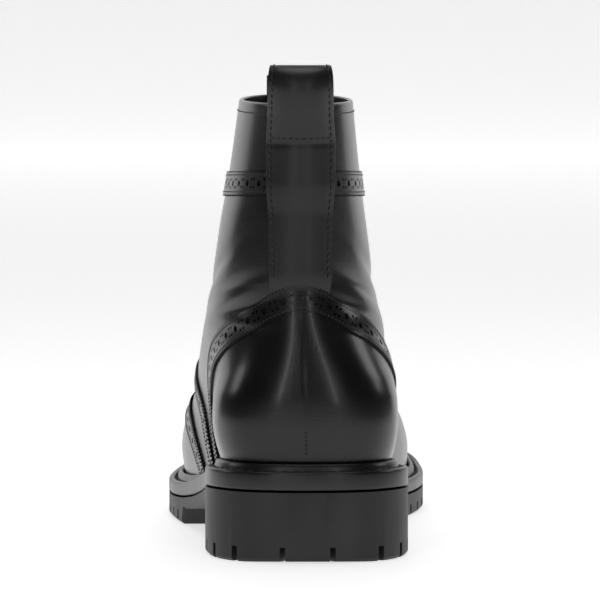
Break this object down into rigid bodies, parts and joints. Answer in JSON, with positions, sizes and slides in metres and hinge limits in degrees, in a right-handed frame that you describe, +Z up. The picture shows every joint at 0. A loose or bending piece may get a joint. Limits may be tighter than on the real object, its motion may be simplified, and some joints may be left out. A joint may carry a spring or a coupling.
{
  "type": "brogue boot",
  "caption": "Left lace-up brogue ankle boot: hollow leather upper, tongue, heel pull loop, welt and lugged rubber sole, standing on its tread.",
  "frame": {"origin": "Middle of the boot's box at floor level, under the sole", "axes": "+Y runs from heel to toe, +Z is up, +X is the medial side of this left boot"},
  "size_m": [0.1102, 0.3049, 0.1964],
  "materials": {
    "outsole": "matt moulded",
    "welt": "satin",
    "upper": "polished",
    "insole": "matt",
    "tongue": "polished",
    "pull_loop": "satin",
    "laces": "matt woven",
    "metal": "gunmetal"
  },
  "bodies": {
    "root": {"outsole": "outsole", "welt": "welt", "upper": "upper", "insole": "insole", "tongue": "tongue", "pull_loop": "pull_loop", "laces": "laces", "eyelet_lat_1": "metal", "eyelet_lat_2": "metal", "eyelet_lat_3": "metal", "eyelet_lat_4": "metal", "eyelet_med_1": "metal", "eyelet_med_2": "metal", "eyelet_med_3": "metal", "eyelet_med_4": "metal", "hook_lat_1": "metal", "hook_lat_2": "metal", "hook_lat_3": "metal", "hook_med_1": "metal", "hook_med_2": "metal", "hook_med_3": "metal"}
  },
  "joints": []
}
